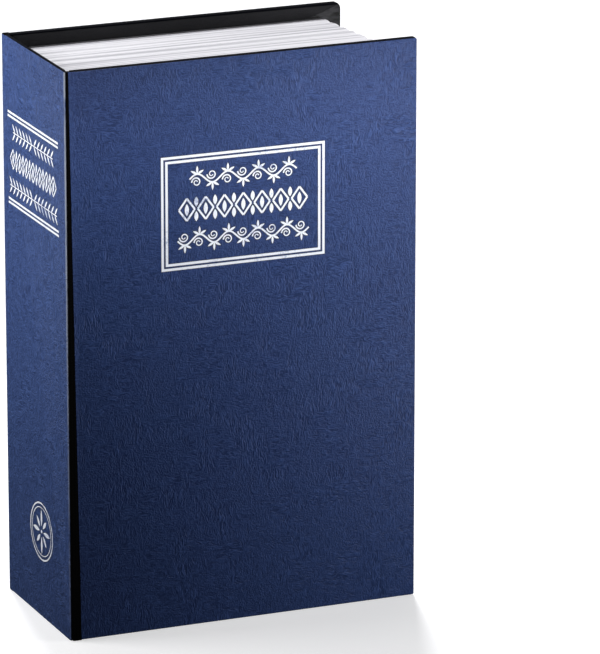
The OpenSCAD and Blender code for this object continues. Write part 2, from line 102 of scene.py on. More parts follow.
# ---- Floor and lights ----
# A sweep of white paper, lit from behind and above so that it goes white and
# the book's shadow falls forward. Small soft lights stand close to the head
# of the cover, at its right and off the spine; they give the covers' fade.
def srgb(code):
    """A hex colour such as "#2c3f7d" as linear red, green, blue and alpha."""
    parts = [int(code[i:i + 2], 16) / 255 for i in (1, 3, 5)]
    return (*[c / 12.92 if c <= 0.04045 else ((c + 0.055) / 1.055) ** 2.4 for c in parts], 1)


def node(tree, kind, links=None, **settings):
    """Adds a shader node. links gives each input a value, or the output that feeds it."""
    made = tree.nodes.new("ShaderNode" + kind)
    for name, value in settings.items():
        setattr(made, name, value)
    for name, value in (links or {}).items():
        if isinstance(value, bpy.types.NodeSocket):
            tree.links.new(value, made.inputs[name])
        else:
            made.inputs[name].default_value = value
    return made


def material(name, **sockets):
    """A material and its Principled shader, with the constant sockets set."""
    made = bpy.data.materials.new(name)
    made.use_nodes = True
    made.node_tree.nodes.clear()
    shader = node(made.node_tree, "BsdfPrincipled")
    for socket, value in sockets.items():
        shader.inputs[socket.replace("_", " ")].default_value = value
    node(made.node_tree, "OutputMaterial", {"Surface": shader.outputs[0]})
    return made, shader


def feed(shader, **outputs):
    """Links the nodes' outputs to the shader's sockets, such as Base_Color and Normal."""
    for socket, output in outputs.items():
        shader.id_data.links.new(output, shader.inputs[socket.replace("_", " ")])


def soft_light(name, place, target, size, power, spread=180):
    """A softbox (width, height) that faces a target. spread is its beam, in degrees."""
    bpy.ops.object.light_add(type="AREA", location=place)
    lamp = bpy.context.object
    lamp.name = name
    lamp.data.shape = "RECTANGLE"
    lamp.data.size, lamp.data.size_y = size
    lamp.data.energy = power
    lamp.data.spread = math.radians(spread)
    lamp.visible_camera = False
    lamp.rotation_euler = (Vector(target) - lamp.location).to_track_quat("-Z", "Y").to_euler()


def wide_light(name, travel, power, softness):
    """A distant light that shines along a direction. softness is its width, in degrees."""
    bpy.ops.object.light_add(type="SUN", location=Vector(travel) * -1)
    lamp = bpy.context.object
    lamp.name = name
    lamp.data.energy = power
    lamp.data.angle = math.radians(softness)
    lamp.rotation_euler = Vector(travel).to_track_quat("-Z", "Y").to_euler()


# Seamless background paper: matt and white, and bright under the lights.
sweep_paper, shader = material(
    "sweep_paper", Roughness=0.9, Base_Color=srgb("#cbcbcd"), Emission_Color=srgb("#ffffff"),
    Emission_Strength=0.55,
)

bpy.ops.mesh.primitive_plane_add(size=8, location=(0, 1, 0))
floor = bpy.context.object
floor.name = "studio_floor"
floor.data.materials.append(sweep_paper)
floor.visible_diffuse = False
floor.visible_glossy = False

world = bpy.data.worlds.new("studio")
bpy.context.scene.world = world
world.use_nodes = True
world.node_tree.nodes["Background"].inputs["Color"].default_value = srgb("#ffffff")
world.node_tree.nodes["Background"].inputs["Strength"].default_value = 0.06

wide_light("rear_light", (-0.25, -0.96, -1.8), 3.0, 8)
wide_light("overhead_light", (-0.1, -0.5, -1), 0.5, 50)
soft_light("key_light", (0.14, -0.15, 0.172), (0.0, -0.0275, 0.18), (0.07, 0.07), 0.1, 110)
soft_light("top_light", (-0.03, -0.11, 0.194), (-0.03, -0.0275, 0.152), (0.2, 0.03), 0.028, 76)
soft_light("side_light", (0.24, -0.16, 0.05), (0.06, -0.0275, 0.05), (0.1, 0.1), 0.11, 90)
soft_light("spine_light", (-0.32, 0.1, 0.23), (-0.0575, 0, 0.19), (0.18, 0.18), 0.62, 120)


# ---- Grey boards ----
# Millboard cut to size for the two covers and the spine. It is seen only
# where the case would be cut open, as it is wrapped on every side.
def wear(node_name, finish):
    """Gives a finished CAD node its material."""
    frame["nodes"][node_name].data.materials.clear()
    frame["nodes"][node_name].data.materials.append(finish)


def per_mm(*sizes):
    """Pattern scales for cells of these sizes, in millimetres, along each axis."""
    return [1 / (size * mm) for size in sizes]


def object_space(tree, scale=(1, 1, 1)):
    """Object coordinates, stretched by a scale along each axis."""
    source = node(tree, "TexCoord")
    return node(tree, "Mapping", {"Vector": source.outputs["Object"], "Scale": scale}).outputs[0]


def grained(name, size, dark, light, detail, harsh=0.5, stretch=(1, 1, 1), relief=0, **sockets):
    """A material in two tones that follow one noise, with grains of a size in millimetres.

    harsh is how strong the fine grains are, and relief is (height, strength) of the bump they make.
    """
    made, shader = material(name, **sockets)
    tree = made.node_tree
    grains = node(tree, "TexNoise", {
        "Vector": object_space(tree, stretch), "Scale": 1 / (size * mm), "Detail": detail,
        "Roughness": harsh,
    })
    tone = node(tree, "Mix", {0: grains.outputs[0], 6: srgb(dark), 7: srgb(light)}, data_type="RGBA")
    feed(shader, Base_Color=tone.outputs[2])
    if relief:
        height, strength = relief
        bump = node(tree, "Bump", {"Height": grains.outputs[0], "Distance": height, "Strength": strength})
        feed(shader, Normal=bump.outputs[0])
    return made


# Millboard: pulp board, matt and brownish grey, with short fibres.
millboard = grained("millboard", 1.1, "#8f8674", "#aba18c", 4.0, Roughness=0.9)
for name in ("front_board", "back_board"):
    wear(name, millboard)


# ---- Case wraps ----
# Black leather-grained paper, glued round each board. Its edges are turned
# in over the inner face, and the head and tail turn-ins lie over the
# fore-edge one, with a mitred fold at each corner.
turn_in = 9 * mm
fore_turn_in = 27 * mm
fold_step = 0.2 * mm
edge_round = 0.45 * mm
front_corner_round = 0.6 * mm
back_corner_round = 2 * mm
sunk_in = 0.02 * mm
corner_margin = 0.6 * mm


def block(name, low, high):
    """A cube primitive between two corners, ready to be shaped."""
    low, high = Vector(low), Vector(high)
    bpy.ops.mesh.primitive_cube_add(size=1, location=(low + high) / 2, scale=high - low)
    made = bpy.context.object
    made.name = name
    bpy.ops.object.transform_apply(location=True, rotation=True, scale=True)
    return made


def choose(kind, test):
    """In edit mode, selects the edges or faces that pass a test of their middle and direction."""
    shape = bmesh.from_edit_mesh(bpy.context.object.data)
    bpy.ops.mesh.select_all(action="DESELECT")
    bpy.ops.mesh.select_mode(type="EDGE" if kind == "edges" else "FACE")
    for part in getattr(shape, kind):
        if kind == "edges":
            middle = (part.verts[0].co + part.verts[1].co) / 2
            along = (part.verts[1].co - part.verts[0].co).normalized()
            part.select_set(test(middle, along, part))
        else:
            part.select_set(test(part.calc_center_median(), part.normal, part))
    bmesh.update_edit_mesh(bpy.context.object.data)


def round_edges(width, segments, test):
    """In edit mode, rounds over the edges that pass a test."""
    choose("edges", test)
    bpy.ops.mesh.bevel(offset=width, segments=segments, affect="EDGES")


def face_outwards():
    """In edit mode, selects all faces and turns them outwards."""
    bpy.ops.mesh.select_all(action="SELECT")
    bpy.ops.mesh.normals_make_consistent(inside=False)


def is_arris(edge, least=math.radians(50)):
    """True where two faces of an edge meet at a sharp angle."""
    return len(edge.link_faces) == 2 and edge.calc_face_angle() > least


def smooth(made, angle=35):
    """Smooth shading over all edges under an angle, in object mode."""
    select_only(made)
    bpy.ops.object.shade_smooth_by_angle(angle=math.radians(angle))
    made.select_set(False)


def select_only(made):
    """Makes one object the active and only selected one."""
    bpy.ops.object.select_all(action="DESELECT")
    made.select_set(True)
    bpy.context.view_layer.objects.active = made


def join(parts, name):
    """Joins objects into the first of them."""
    select_only(parts[0])
    for part in parts:
        part.select_set(True)
    bpy.ops.object.join()
    parts[0].name = name
    return parts[0]


def fold_sheet(outline, y, thickness, finish):
    """A four-cornered sheet with (x, z) corners, raised along Y from a face, edges softened."""
    bpy.ops.mesh.primitive_plane_add(size=1)
    made = bpy.context.object
    for corner in made.data.vertices:
        right, up = corner.co.x > 0, corner.co.y > 0
        x, z = outline[(2 if right else 3) if up else (1 if right else 0)]
        corner.co = (x, y, z)
    bpy.ops.object.mode_set(mode="EDIT")
    bpy.ops.mesh.select_all(action="SELECT")
    bpy.ops.mesh.extrude_region_move(TRANSFORM_OT_translate={"value": (0, thickness, 0)})
    face_outwards()
    round_edges(
        0.8 * abs(thickness), 2,
        lambda m, d, e: abs(m.y - y) > 0.9 * abs(thickness) and is_arris(e),
    )
    bpy.ops.object.mode_set(mode="OBJECT")
    made.data.materials.append(finish)
    return made


def case_wrap(name, node_name, body, inward, corner_round):
    """One wrapped board. inward is +1 or -1, the way its inner face looks along Y."""
    low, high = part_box(node_name)
    made = block(name, low, high)
    bpy.ops.object.mode_set(mode="EDIT")
    round_edges(corner_round, 6, lambda m, d, e: abs(d.y) > 0.9 and m.x > high.x - mm)
    round_edges(edge_round, 3, lambda m, d, e: abs(d.y) < 0.5 and is_arris(e))
    bpy.ops.object.mode_set(mode="OBJECT")
    made.data.materials.append(leather_paper)
    inner = (high.y if inward > 0 else low.y) - inward * sunk_in
    left, right = low.x + edge_round, high.x - corner_margin
    foot, head = low.z + corner_margin, high.z - corner_margin
    fore = high.x - fore_turn_in
    folds = [
        fold_sheet(
            ((fore, foot + turn_in), (right, foot), (right, head), (fore, head - turn_in)),
            inner, inward * 0.5 * fold_step, stretched_paper,
        ),
        fold_sheet(
            ((left, head - turn_in), (fore, head - turn_in), (right, head), (left, head)),
            inner, inward * fold_step, turned_paper,
        ),
        fold_sheet(
            ((left, foot), (right, foot), (fore, foot + turn_in), (left, foot + turn_in)),
            inner, inward * fold_step, turned_paper,
        ),
    ]
    made = join([made] + folds, name)
    smooth(made)
    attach(made, body)
    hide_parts(node_name)
    return made


def leather_grain(name, dark, light, gloss):
    """Varnished black paper, finely pebbled: small soft glints and a slight grey bloom."""
    made, shader = material(name, Roughness=0.75, Specular_IOR_Level=gloss)
    tree = made.node_tree
    space = object_space(tree)
    pebble = node(tree, "TexVoronoi", {
        "Vector": space, "Scale": 1 / (0.67 * mm),
    }, feature="SMOOTH_F1")
    crease = node(tree, "TexNoise", {
        "Vector": space, "Scale": 1 / (2.4 * mm), "Detail": 5.0, "Roughness": 0.6,
    })
    height = node(tree, "Math", {0: pebble.outputs[0], 1: crease.outputs[0]}, operation="ADD")
    bump = node(tree, "Bump", {"Height": height.outputs[0], "Distance": 0.12 * mm, "Strength": 0.6})
    bloom = node(tree, "TexNoise", {"Vector": space, "Scale": 1 / (17 * mm), "Detail": 3.0})
    tone = node(tree, "Mix", {0: bloom.outputs[0], 6: srgb(dark), 7: srgb(light)}, data_type="RGBA")
    feed(shader, Base_Color=tone.outputs[2], Normal=bump.outputs[0])
    return made


# The turned-in edges take a lighter, glossier copy of the same paper.
leather_paper = leather_grain("black_leather_paper", "#040509", "#0c0e15", 0.04)
turned_paper = leather_grain("turned_in_leather_paper", "#161618", "#2b2b2e", 0.15)

# Where the paper is drawn round a corner it stretches, greys and creases.
stretched_paper, shader = material("stretched_leather_paper", Roughness=0.6, Specular_IOR_Level=0.2)
tree = stretched_paper.node_tree
streak = node(tree, "TexNoise", {
    "Vector": object_space(tree, per_mm(3.846, 3.846, 1.111)), "Scale": 1.0, "Detail": 4.0,
})
bands = node(tree, "MapRange", {"Value": streak.outputs[0], "From Min": 0.35, "From Max": 0.65})
tone = node(tree, "Mix", {
    0: bands.outputs[0], 6: srgb("#070708"), 7: srgb("#343438"),
}, data_type="RGBA")
bump = node(tree, "Bump", {"Height": streak.outputs[0], "Distance": 0.12 * mm, "Strength": 0.5})
feed(shader, Base_Color=tone.outputs[2], Normal=bump.outputs[0])

case_wrap("front_wrap", "front_cover_wrap", "front_cover", 1, front_corner_round)
case_wrap("back_wrap", "back_cover_wrap", "root", -1, back_corner_round)


# ---- Linings ----
# Black paper pasted over the inner face of each cover after the wrap has
# been turned in. It stops a few millimetres short of the board's edges.
lining_margin = 6 * mm
lining_t = 0.3 * mm
lining_corner = 0.8 * mm
lining_ease = 0.06 * mm


def lining(name, node_name, wrap_node, body, inward):
    """The lining sheet of one cover."""
    low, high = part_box(wrap_node)
    inner = high.y if inward > 0 else low.y
    near = (low.x + lining_margin, inner, low.z + lining_margin)
    far = (high.x - lining_margin, inner + inward * lining_t, high.z - lining_margin)
    lows = [min(a, b) for a, b in zip(near, far)]
    highs = [max(a, b) for a, b in zip(near, far)]
    made = block(name, lows, highs)
    bpy.ops.object.mode_set(mode="EDIT")
    round_edges(lining_corner, 3, lambda m, d, e: abs(d.y) > 0.9)
    round_edges(lining_ease, 2, lambda m, d, e: abs(d.y) < 0.5 and is_arris(e))
    bpy.ops.object.mode_set(mode="OBJECT")
    smooth(made)
    made.data.materials.append(lining_paper)
    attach(made, body)
    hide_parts(node_name)
    return made


# Lining paper: uncoated black paper, matt, with a felt-side texture.
lining_paper = grained(
    "black_lining_paper", 0.77, "#17171a", "#242428", 5.0, harsh=0.7,
    relief=(0.06 * mm, 0.6), Roughness=0.78,
)

lining("front_endpaper", "front_lining", "front_cover_wrap", "front_cover", 1)
lining("back_endpaper", "back_lining", "back_cover_wrap", "root", -1)


# ---- Blue cover paper ----
# Printed navy paper with an embossed grain of crossed fibres, pasted on the
# outside of both covers and of the spine. It reaches the fore-edge and stops
# just short of the head and tail, where a thin dark line of the wrap shows.
panel_round = 0.22 * mm
over_edge = 0.3 * mm
paper_t = 0.04 * mm
head_margin = 0.18 * mm
front_corner = 0.5 * mm
back_corner = 2.1 * mm


def emboss(tree):
    """The height of the grain: patches of upright and of level strokes over fine fibres."""
    patch = node(tree, "TexNoise", {
        "Vector": object_space(tree), "Scale": 1 / (6.25 * mm), "Detail": 2.0,
    })
    side = node(tree, "MapRange", {"Value": patch.outputs[0], "From Min": 0.42, "From Max": 0.58})
    strokes = []
    for across_mm, along_mm in ((0.8333, 2.564), (2.564, 0.8333)):
        strokes.append(node(tree, "TexNoise", {
            "Vector": object_space(tree, per_mm(across_mm, across_mm, along_mm)),
            "Scale": 1.0, "Detail": 2.0, "Roughness": 0.5, "Distortion": 1.4,
        }))
    mixed = node(tree, "Mix", {
        0: side.outputs[0], 2: strokes[0].outputs[0], 3: strokes[1].outputs[0],
    })
    fibre = node(tree, "TexNoise", {
        "Vector": object_space(tree), "Scale": 1 / (0.53 * mm), "Detail": 3.0,
    })
    calm = node(tree, "TexNoise", {
        "Vector": object_space(tree), "Scale": 1 / (10.5 * mm), "Detail": 2.0,
    })
    share = node(tree, "MapRange", {
        "Value": calm.outputs[0], "From Min": 0.35, "From Max": 0.65, "To Min": 0.05, "To Max": 0.55,
    })
    rough = node(tree, "Mix", {0: share.outputs[0], 2: mixed.outputs[0], 3: fibre.outputs[0]})
    return node(tree, "MapRange", {"Value": rough.outputs[0], "From Min": 0.36, "From Max": 0.7})


def blue_paper(name, depth, crest_highlight_colour):
    """Embossed navy paper: satin print, with a painted highlight that makes it lighter on the raised
    fibres.
    """
    made, shader = material(name, Roughness=0.46, Specular_IOR_Level=0.13)
    tree = made.node_tree
    grain = emboss(tree).outputs[0]
    drift = node(tree, "TexNoise", {
        "Vector": object_space(tree), "Scale": 1 / (36 * mm), "Detail": 2.0,
    })
    ink = node(tree, "Mix", {
        0: drift.outputs[0], 6: srgb("#23305a"), 7: srgb("#23365f"),
    }, data_type="RGBA")
    # Painted highlight: the raised grain takes the lighter crest colour.
    crest_highlight = node(tree, "Mix", {
        0: grain, 6: ink.outputs[2], 7: srgb(crest_highlight_colour),
    }, data_type="RGBA")
    bump = node(tree, "Bump", {"Height": grain, "Distance": depth, "Strength": 0.7})
    feed(shader, Base_Color=crest_highlight.outputs[2], Normal=bump.outputs[0])
    return made


def blue_panel(name, node_name, body, outward, panel_corner):
    """One cover's blue sheet, drawn over the board's edges. outward is -1 or +1 along Y."""
    low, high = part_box(node_name)
    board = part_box(node_name.replace("panel_paper", "cover_wrap"))
    low.z, high.z = board[0].z + head_margin, board[1].z - head_margin
    high.x = board[1].x + paper_t
    if outward < 0:
        high.y = low.y + over_edge
    else:
        low.y = high.y - over_edge
    made = block(name, low, high)
    bpy.ops.object.mode_set(mode="EDIT")
    round_edges(panel_corner, 5, lambda m, d, e: abs(d.y) > 0.9 and m.x > high.x - mm)
    face = high.y if outward > 0 else low.y
    round_edges(
        panel_round, 3,
        lambda m, d, e: abs(d.y) < 0.5 and abs(m.y - face) < 0.01 * mm and is_arris(e),
    )
    bpy.ops.object.mode_set(mode="OBJECT")
    smooth(made)
    made.data.materials.append(cover_paper)
    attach(made, body)
    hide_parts(node_name)
    return made


cover_paper = blue_paper("blue_cover_paper", 0.2 * mm, "#394e82")
# The spine's copy has lighter crests: a brighter painted highlight than on the covers.
spine_paper = blue_paper("blue_spine_paper", 0.4 * mm, "#475e94")
blue_panel("front_blue_panel", "front_panel_paper", "front_cover", -1, front_corner)
blue_panel("back_blue_panel", "back_panel_paper", "root", 1, back_corner)


# ---- Spine ----
# A strip of thin card in its black wrap, with a narrow tongue that runs on
# to the front arris behind the joint, and the blue sheet over the whole width.
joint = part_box("front_joint_cloth")
spine_low, spine_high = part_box("spine_wrap")
arris = (joint[0].x, joint[0].y)
tongue_w = 0.9 * mm
spine_t = 1.1 * mm
card_t = 0.6 * mm
foot_round = 0.9 * mm
case_ease = 0.2 * mm
sheet_ease = 0.1 * mm
sheet_margin = 0.15 * mm


def is_foot_corner(m, d):
    """True for the edge at the foot of the front arris, which handling has rounded."""
    return abs(d.x) > 0.9 and m.z < mm and m.y < arris[1] + mm


spine_case = block("spine_case", spine_low, (spine_low.x + spine_t, spine_high.y, spine_high.z))
tongue = block(
    "spine_tongue",
    (spine_low.x, arris[1] + 0.3 * mm, spine_low.z),
    (spine_low.x + tongue_w, spine_low.y + 0.2 * mm, spine_high.z),
)
for part in (spine_case, tongue):
    select_only(part)
    bpy.ops.object.mode_set(mode="EDIT")
    if part == tongue:
        round_edges(foot_round, 5, lambda m, d, e: is_foot_corner(m, d))
    round_edges(case_ease, 2, lambda m, d, e: is_arris(e))
    bpy.ops.object.mode_set(mode="OBJECT")
spine_case = join([spine_case, tongue], "spine_case")
smooth(spine_case)
spine_case.data.materials.append(leather_paper)
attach(spine_case, "root")
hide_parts("spine_wrap")

card_low, card_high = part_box("spine_board")
spine_card = block(
    "spine_card",
    (spine_low.x + (spine_t - card_t) / 2, card_low.y, card_low.z),
    (spine_low.x + (spine_t + card_t) / 2, card_high.y, card_high.z),
)
spine_card.data.materials.append(millboard)
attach(spine_card, "root")
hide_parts("spine_board")

# The sheet's long front edge is pale along the arris, more so towards the head: partly scuffing and
# partly a painted highlight on the arris.
sheet_low, sheet_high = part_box("spine_panel_paper")
back_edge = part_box("back_joint_cloth")[1].y - 0.2 * mm
spine_panel = block(
    "spine_blue_panel",
    (sheet_low.x - paper_t, arris[1] + 0.12 * mm, spine_low.z + sheet_margin),
    (sheet_high.x, back_edge, spine_high.z - sheet_margin),
)
bpy.ops.object.mode_set(mode="EDIT")
round_edges(foot_round, 5, lambda m, d, e: is_foot_corner(m, d))
round_edges(sheet_ease, 2, lambda m, d, e: is_arris(e))
bpy.ops.object.mode_set(mode="OBJECT")
smooth(spine_panel)

tree = spine_paper.node_tree
shader = next(n for n in tree.nodes if n.type == "BSDF_PRINCIPLED")
place = node(tree, "SeparateXYZ", {"Vector": node(tree, "TexCoord").outputs["Object"]})
near_arris = node(tree, "MapRange", {
    "Value": place.outputs["Y"], "From Min": arris[1] + 1.3 * mm, "From Max": arris[1] + 0.7 * mm,
})
flecks = node(tree, "TexNoise", {
    "Vector": object_space(tree, (1, 1, 0.25)), "Scale": 1 / (2.4 * mm), "Detail": 3.0,
})
fleck_mask = node(tree, "MapRange", {"Value": flecks.outputs[0], "From Min": 0.28, "From Max": 0.5})
# Wear and painted highlight: the pale line grows stronger towards the head.
wear_and_highlight_ramp = node(tree, "MapRange", {
    "Value": place.outputs["Z"], "From Min": 10 * mm, "From Max": 150 * mm, "To Min": 0.15,
})
rubbed_and_highlit = node(tree, "Math", {0: fleck_mask.outputs[0], 1: wear_and_highlight_ramp.outputs[0]}, operation="MULTIPLY")
scuff_and_highlight = node(tree, "Math", {0: near_arris.outputs[0], 1: rubbed_and_highlit.outputs[0]}, operation="MULTIPLY")
ink = shader.inputs["Base Color"].links[0].from_socket
scuffed_and_highlit = node(tree, "Mix", {0: scuff_and_highlight.outputs[0], 6: ink, 7: srgb("#8f95a4")}, data_type="RGBA")
feed(shader, Base_Color=scuffed_and_highlit.outputs[2])
spine_panel.data.materials.append(spine_paper)
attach(spine_panel, "root")
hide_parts("spine_panel_paper")


# ---- Joints ----
# Black book cloth along the arris of each cover. The front one is the
# hinge. The front sheet runs over it to a slanting edge, so the black band
# is narrow at the head and wide at the tail.
book_cloth, shader = material("black_book_cloth", Roughness=0.9, Specular_IOR_Level=0.06)
tree = book_cloth.node_tree
# Calico: a plain weave, drawn at 1 mm a thread so that it shows. A wave of
# scale 1 repeats every twentieth of a full turn.
thread_pitch = 0.9817 * mm
thread_scale = 2 * math.pi / 20 / thread_pitch
threads = []
for axis in ("Z", "X"):
    wave = node(tree, "TexWave", {
        "Vector": object_space(tree), "Scale": thread_scale, "Distortion": 1.2, "Detail": 2.0,
    }, bands_direction=axis)
    threads.append(wave.outputs["Fac"])
weave = node(tree, "Math", {0: threads[0], 1: threads[1]}, operation="MULTIPLY")
bump = node(tree, "Bump", {"Height": weave.outputs[0], "Distance": 0.1 * mm, "Strength": 0.5})
tone = node(tree, "Mix", {
    0: weave.outputs[0], 6: srgb("#010101"), 7: srgb("#060607"),
}, data_type="RGBA")
feed(shader, Base_Color=tone.outputs[2], Normal=bump.outputs[0])
wear("back_joint_cloth", book_cloth)

cover_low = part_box("front_cover_wrap")[0]
strip_left = arris[0] + 0.15 * mm
strip_right = cover_low.x + 1.1 * mm
band_head = 1.0 * mm
band_tail = 3.4 * mm
strip_t = 0.25 * mm
strip_margin = 0.1 * mm
strip_proud = 0.03 * mm
columns = 12
black_columns = 7
roll_r = 0.7 * mm
roll_ease = 0.2 * mm

bpy.ops.mesh.primitive_grid_add(x_subdivisions=columns, y_subdivisions=1, size=1)
joint_strip = bpy.context.object
joint_strip.name = "front_joint_strip"
bpy.ops.object.mode_set(mode="EDIT")
shape = bmesh.from_edit_mesh(joint_strip.data)
for corner in shape.verts:
    step = round((corner.co.x + 0.5) * columns)
    at_head = corner.co.y > 0
    seam = arris[0] + (band_head if at_head else band_tail)
    if step <= black_columns:
        x = strip_left + (seam - strip_left) * step / black_columns
    else:
        x = seam + (strip_right - seam) * (step - black_columns) / (columns - black_columns)
    z = joint[1].z - strip_margin if at_head else joint[0].z + strip_margin
    short = max(0, foot_round - (x - strip_left))
    if not at_head:
        z += foot_round - math.sqrt(foot_round ** 2 - short ** 2)
    corner.co = (x, book_low.y - strip_proud, z)
for face in shape.faces:
    # A face lies between two columns, and its left side at the head says which.
    left = min(corner.co.x for corner in face.verts if corner.co.z > book_middle.z)
    face.material_index = 0 if left < arris[0] + band_head - 0.01 * mm else 1
bmesh.update_edit_mesh(joint_strip.data)
bpy.ops.mesh.select_all(action="SELECT")
bpy.ops.mesh.subdivide(number_cuts=1)
bpy.ops.mesh.normals_make_consistent(inside=False)
bpy.ops.object.mode_set(mode="OBJECT")
solid = joint_strip.modifiers.new("thickness", "SOLIDIFY")
solid.thickness = strip_t
solid.offset = -1
bpy.ops.object.modifier_apply(modifier="thickness")
smooth(joint_strip, 50)
joint_strip.data.materials.append(book_cloth)
joint_strip.data.materials.append(cover_paper)
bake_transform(joint_strip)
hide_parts("front_joint_cloth")


# Behind the strip the cloth is folded into the groove, as a round roll.
bpy.ops.mesh.primitive_cylinder_add(
    vertices=24, radius=roll_r, depth=joint[1].z - joint[0].z - 0.3 * mm,
    location=(arris[0] + 1.4 * mm, arris[1] + 1.5 * mm, book_middle.z),
)
joint_roll = bpy.context.object
joint_roll.name = "joint_roll"
bpy.ops.object.transform_apply(location=True, rotation=True, scale=True)
bpy.ops.object.mode_set(mode="EDIT")
round_edges(roll_ease, 2, lambda m, d, e: abs(d.z) < 0.5 and is_arris(e))
bpy.ops.object.mode_set(mode="OBJECT")
smooth(joint_roll)
joint_roll.data.materials.append(book_cloth)
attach(joint_roll, "root")


# ---- Foil stamping ----
# Silver foil, stamped hot into the paper with a brass die: a double frame
# with three rows of printer's flowers on the front, and rules with the
# same flowers on the spine. A fine dark line round it is painted shade
# for the shadow in the dent that the die presses.
foil_lift = 0.03 * mm
die_shade_lift = 0.012 * mm
die_shade_margin = 0.16 * mm
rule_w = 0.8 * mm
rule_pitch = 1.4 * mm

# Silver pigment foil: a pale pearl lacquer, satin and nearly white, not a
# mirror. It is rubbed thin in places, and a little of the blue shows there.
silver_pigment_foil, shader = material("silver_pigment_foil", Roughness=0.42)
tree = silver_pigment_foil.node_tree
space = object_space(tree)
rub = node(tree, "TexNoise", {
    "Vector": space, "Scale": 1 / (1.1 * mm), "Detail": 4.0, "Roughness": 0.7,
})
thin = node(tree, "TexNoise", {"Vector": space, "Scale": 1 / (13 * mm), "Detail": 2.0})
spent = node(tree, "Math", {0: rub.outputs[0], 1: thin.outputs[0]}, operation="ADD")
worn = node(tree, "MapRange", {"Value": spent.outputs[0], "From Min": 1.08, "From Max": 1.32})
tone = node(tree, "Mix", {
    0: worn.outputs[0], 6: srgb("#f2f6ff"), 7: srgb("#97a5c8"),
}, data_type="RGBA")
bump = node(tree, "Bump", {"Height": rub.outputs[0], "Distance": 0.05 * mm, "Strength": 0.4})
feed(shader, Base_Color=tone.outputs[2], Normal=bump.outputs[0])

# The pressed line: paper crushed smooth by the die's edge, drawn darker as painted shade for the shadow
# in its dent.
die_shade_paper = grained("die_shade_paper", 1.4, "#0c1330", "#18224c", 2.0, Roughness=0.55)


def leaf(u, v, angle, length, width):
    """A pointed leaf from (u, v), as a stroke: points with a half width at each."""
    steps = 7
    return [
        (
            u + length * t * math.cos(angle),
            v + length * t * math.sin(angle),
            0.5 * width * math.sin(math.pi * min(t * 0.96 + 0.04, 1)) ** 0.8,
        )
        for t in [k / (steps - 1) for k in range(steps)]
    ]


def curl(u, v, turn, size, width):
    """A scroll that starts at (u, v) and winds up. turn is +1 or -1."""
    steps = 22
    points = []
    for k in range(steps):
        t = k / (steps - 1)
        a = t * 1.45 * 2 * math.pi
        r = size * (1 - 0.78 * t)
        half = 0.5 * width * (1 - 0.35 * t)
        points.append((u + turn * (size - r * math.cos(a)), v + r * math.sin(a), half))
    end = points[-1]
    points.append((end[0], end[1], 0.62 * width))
    return points


def dot(u, v, width):
    """A round dot."""
    return [(u, v - 0.3 * width, 0.3 * width), (u, v, 0.5 * width), (u, v + 0.3 * width, 0.3 * width)]


def lozenge(u, v, wide, tall, width):
    """An outlined diamond round a solid one."""
    corners = [(wide, 0), (0, tall), (-wide, 0), (0, -tall), (wide, 0)]
    outline = []
    for (a, b), (c, d) in zip(corners, corners[1:]):
        outline.append([(u + a + (c - a) * t, v + b + (d - b) * t, 0.5 * width) for t in (0, 0.5, 1)])
    return outline + [leaf(u, v - 0.55 * tall, math.pi / 2, 1.1 * tall, 0.6 * wide)]


def vine_row(half_length, v, size, waves, way):
    """A running vine: a waved stem with a scroll in each bend and three leaves over it."""
    pitch = 2 * half_length / waves
    steps = 10
    stem = []
    for k in range(waves * steps + 1):
        t = k / steps
        bend = 0.2 * way * size * math.sin(math.pi * t)
        stem.append((-half_length + pitch * t, v + bend, 0.045 * size))
    strokes = [stem]
    for k in range(waves):
        side = way if k % 2 == 0 else -way
        u = -half_length + pitch * (k + 0.5)
        scroll = curl(0, 0, 1, 0.21 * size, 0.085 * size)
        strokes.append([(u + p - 0.25 * size, v + side * (q - 0.14 * size), w) for p, q, w in scroll])
        for lean, reach in ((0, 0.36), (62, 0.34), (-62, 0.34)):
            angle = side * math.radians(90 + lean)
            strokes.append(leaf(u, v + 0.2 * side * size, angle, reach * size, 0.12 * size))
    return strokes


def laurel_row(half_length, v, size, count):
    """A laurel branch: a straight stem with paired leaves, growing from the middle."""
    strokes = [[(-half_length, v, 0.04 * size), (half_length, v, 0.04 * size)]]
    pitch = half_length / count
    for k in range(count):
        for side in (1, -1):
            for way in (1, -1):
                angle = math.radians(90 - side * 42) * way
                strokes.append(leaf(side * pitch * (k + 0.3), v, angle, 0.62 * size, 0.16 * size))
    return strokes


def lozenge_row(half_length, v, size, count):
    """Diamonds in a chain, with a leaf above and below each joint."""
    strokes = []
    pitch = 2 * half_length / count
    for k in range(count):
        u = -half_length + pitch * (k + 0.5)
        strokes += lozenge(u, v, 0.42 * pitch, 0.46 * size, 0.1 * size)
        if k:
            for way in (1, -1):
                angle = way * math.pi / 2
                foot = v + 0.1 * way * size
                strokes.append(leaf(u - pitch / 2, foot, angle, 0.42 * size, 0.2 * size))
    return strokes


